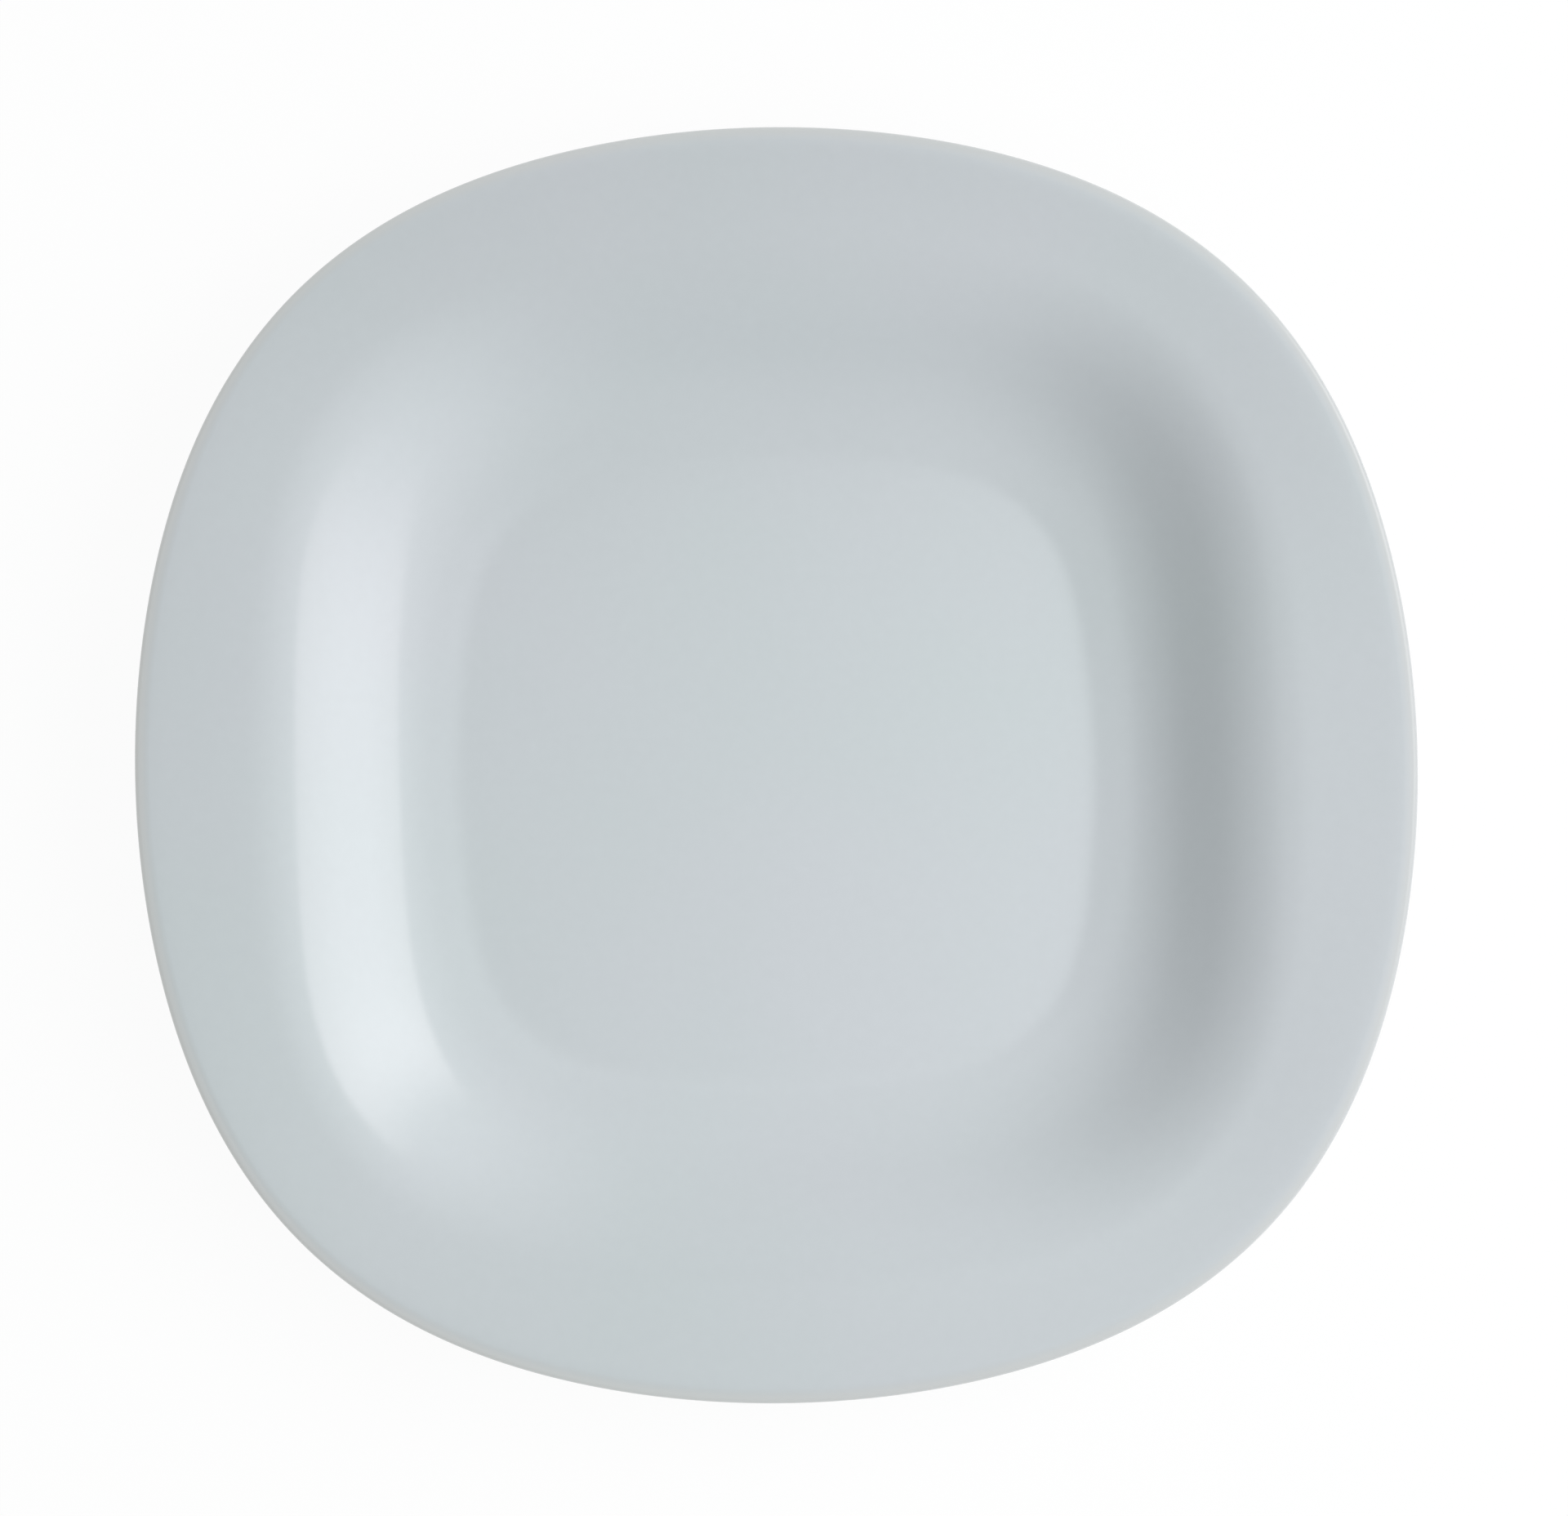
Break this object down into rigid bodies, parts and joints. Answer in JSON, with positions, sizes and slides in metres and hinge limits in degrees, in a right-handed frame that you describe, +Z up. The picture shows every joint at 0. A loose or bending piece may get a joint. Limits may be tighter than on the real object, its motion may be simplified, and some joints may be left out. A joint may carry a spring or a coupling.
{
  "type": "square dinner plate",
  "caption": "Square dinner plate with rounded corners, a flat well, a sloping wall, a wide rim and a low foot ring.",
  "frame": {"origin": "centre of the plate in plan, on the plane that its foot ring stands on", "axes": "+Z up out of the well; +X and +Y square to the plate's sides, +Y away from the viewer of the picture (its top edge)"},
  "size_m": [0.26, 0.26, 0.0243],
  "materials": {
    "opal_glass": "glossy pressed opal glass, opaque grey, fire-polished edge"
  },
  "bodies": {
    "root": {"plate": "opal_glass"}
  },
  "joints": []
}
